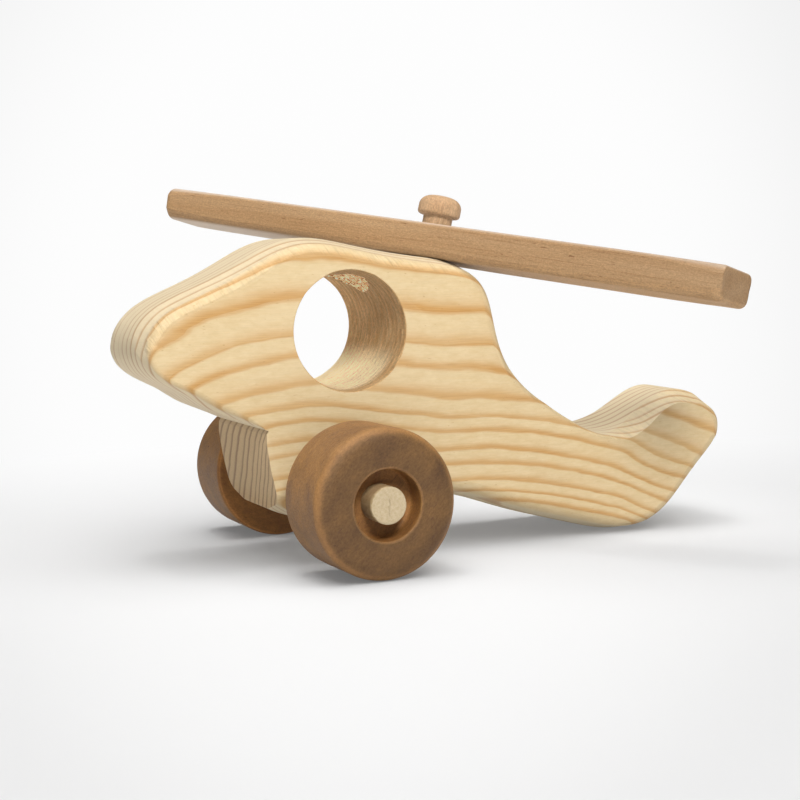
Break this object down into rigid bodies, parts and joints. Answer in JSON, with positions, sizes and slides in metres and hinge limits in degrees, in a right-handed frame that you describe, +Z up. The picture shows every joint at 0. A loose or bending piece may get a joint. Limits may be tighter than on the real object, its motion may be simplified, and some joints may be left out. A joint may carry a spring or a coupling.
{
  "type": "wooden toy helicopter",
  "caption": "Push-along wooden helicopter: one thick shaped board with a round cabin window, a bar rotor on a peg and wheels on a through axle.",
  "frame": {"origin": "on the ground, in the mid-plane, at the middle of the overall length, which is also under the rotor pivot", "axes": "+X to the nose, +Y to port (left when facing the nose), +Z up"},
  "size_m": [0.2235, 0.1963, 0.1286],
  "materials": {
    "softwood": "satin",
    "blade_hardwood": "satin",
    "turned_hardwood": "satin",
    "pale_dowel": "matte",
    "dark_wheel_wood": "satin"
  },
  "bodies": {
    "airframe": {"fuselage": "softwood", "rotor_peg": "turned_hardwood"},
    "rotor": {"rotor_blade": "blade_hardwood"},
    "wheelset": {"axle": "pale_dowel", "wheel_port": "dark_wheel_wood", "wheel_starboard": "dark_wheel_wood"}
  },
  "joints": [
    {"name": "rotor_spin", "type": "hinge", "parent": "airframe", "child": "rotor", "pos_m": [0.0002, 0, 0.09975], "axis": [-0.2181, 0.0175, 0.9758], "continuous": true},
    {"name": "wheelset_spin", "type": "hinge", "parent": "airframe", "child": "wheelset", "pos_m": [0.0453, 0, 0.02425], "axis": [0, 1, 0], "continuous": true}
  ]
}
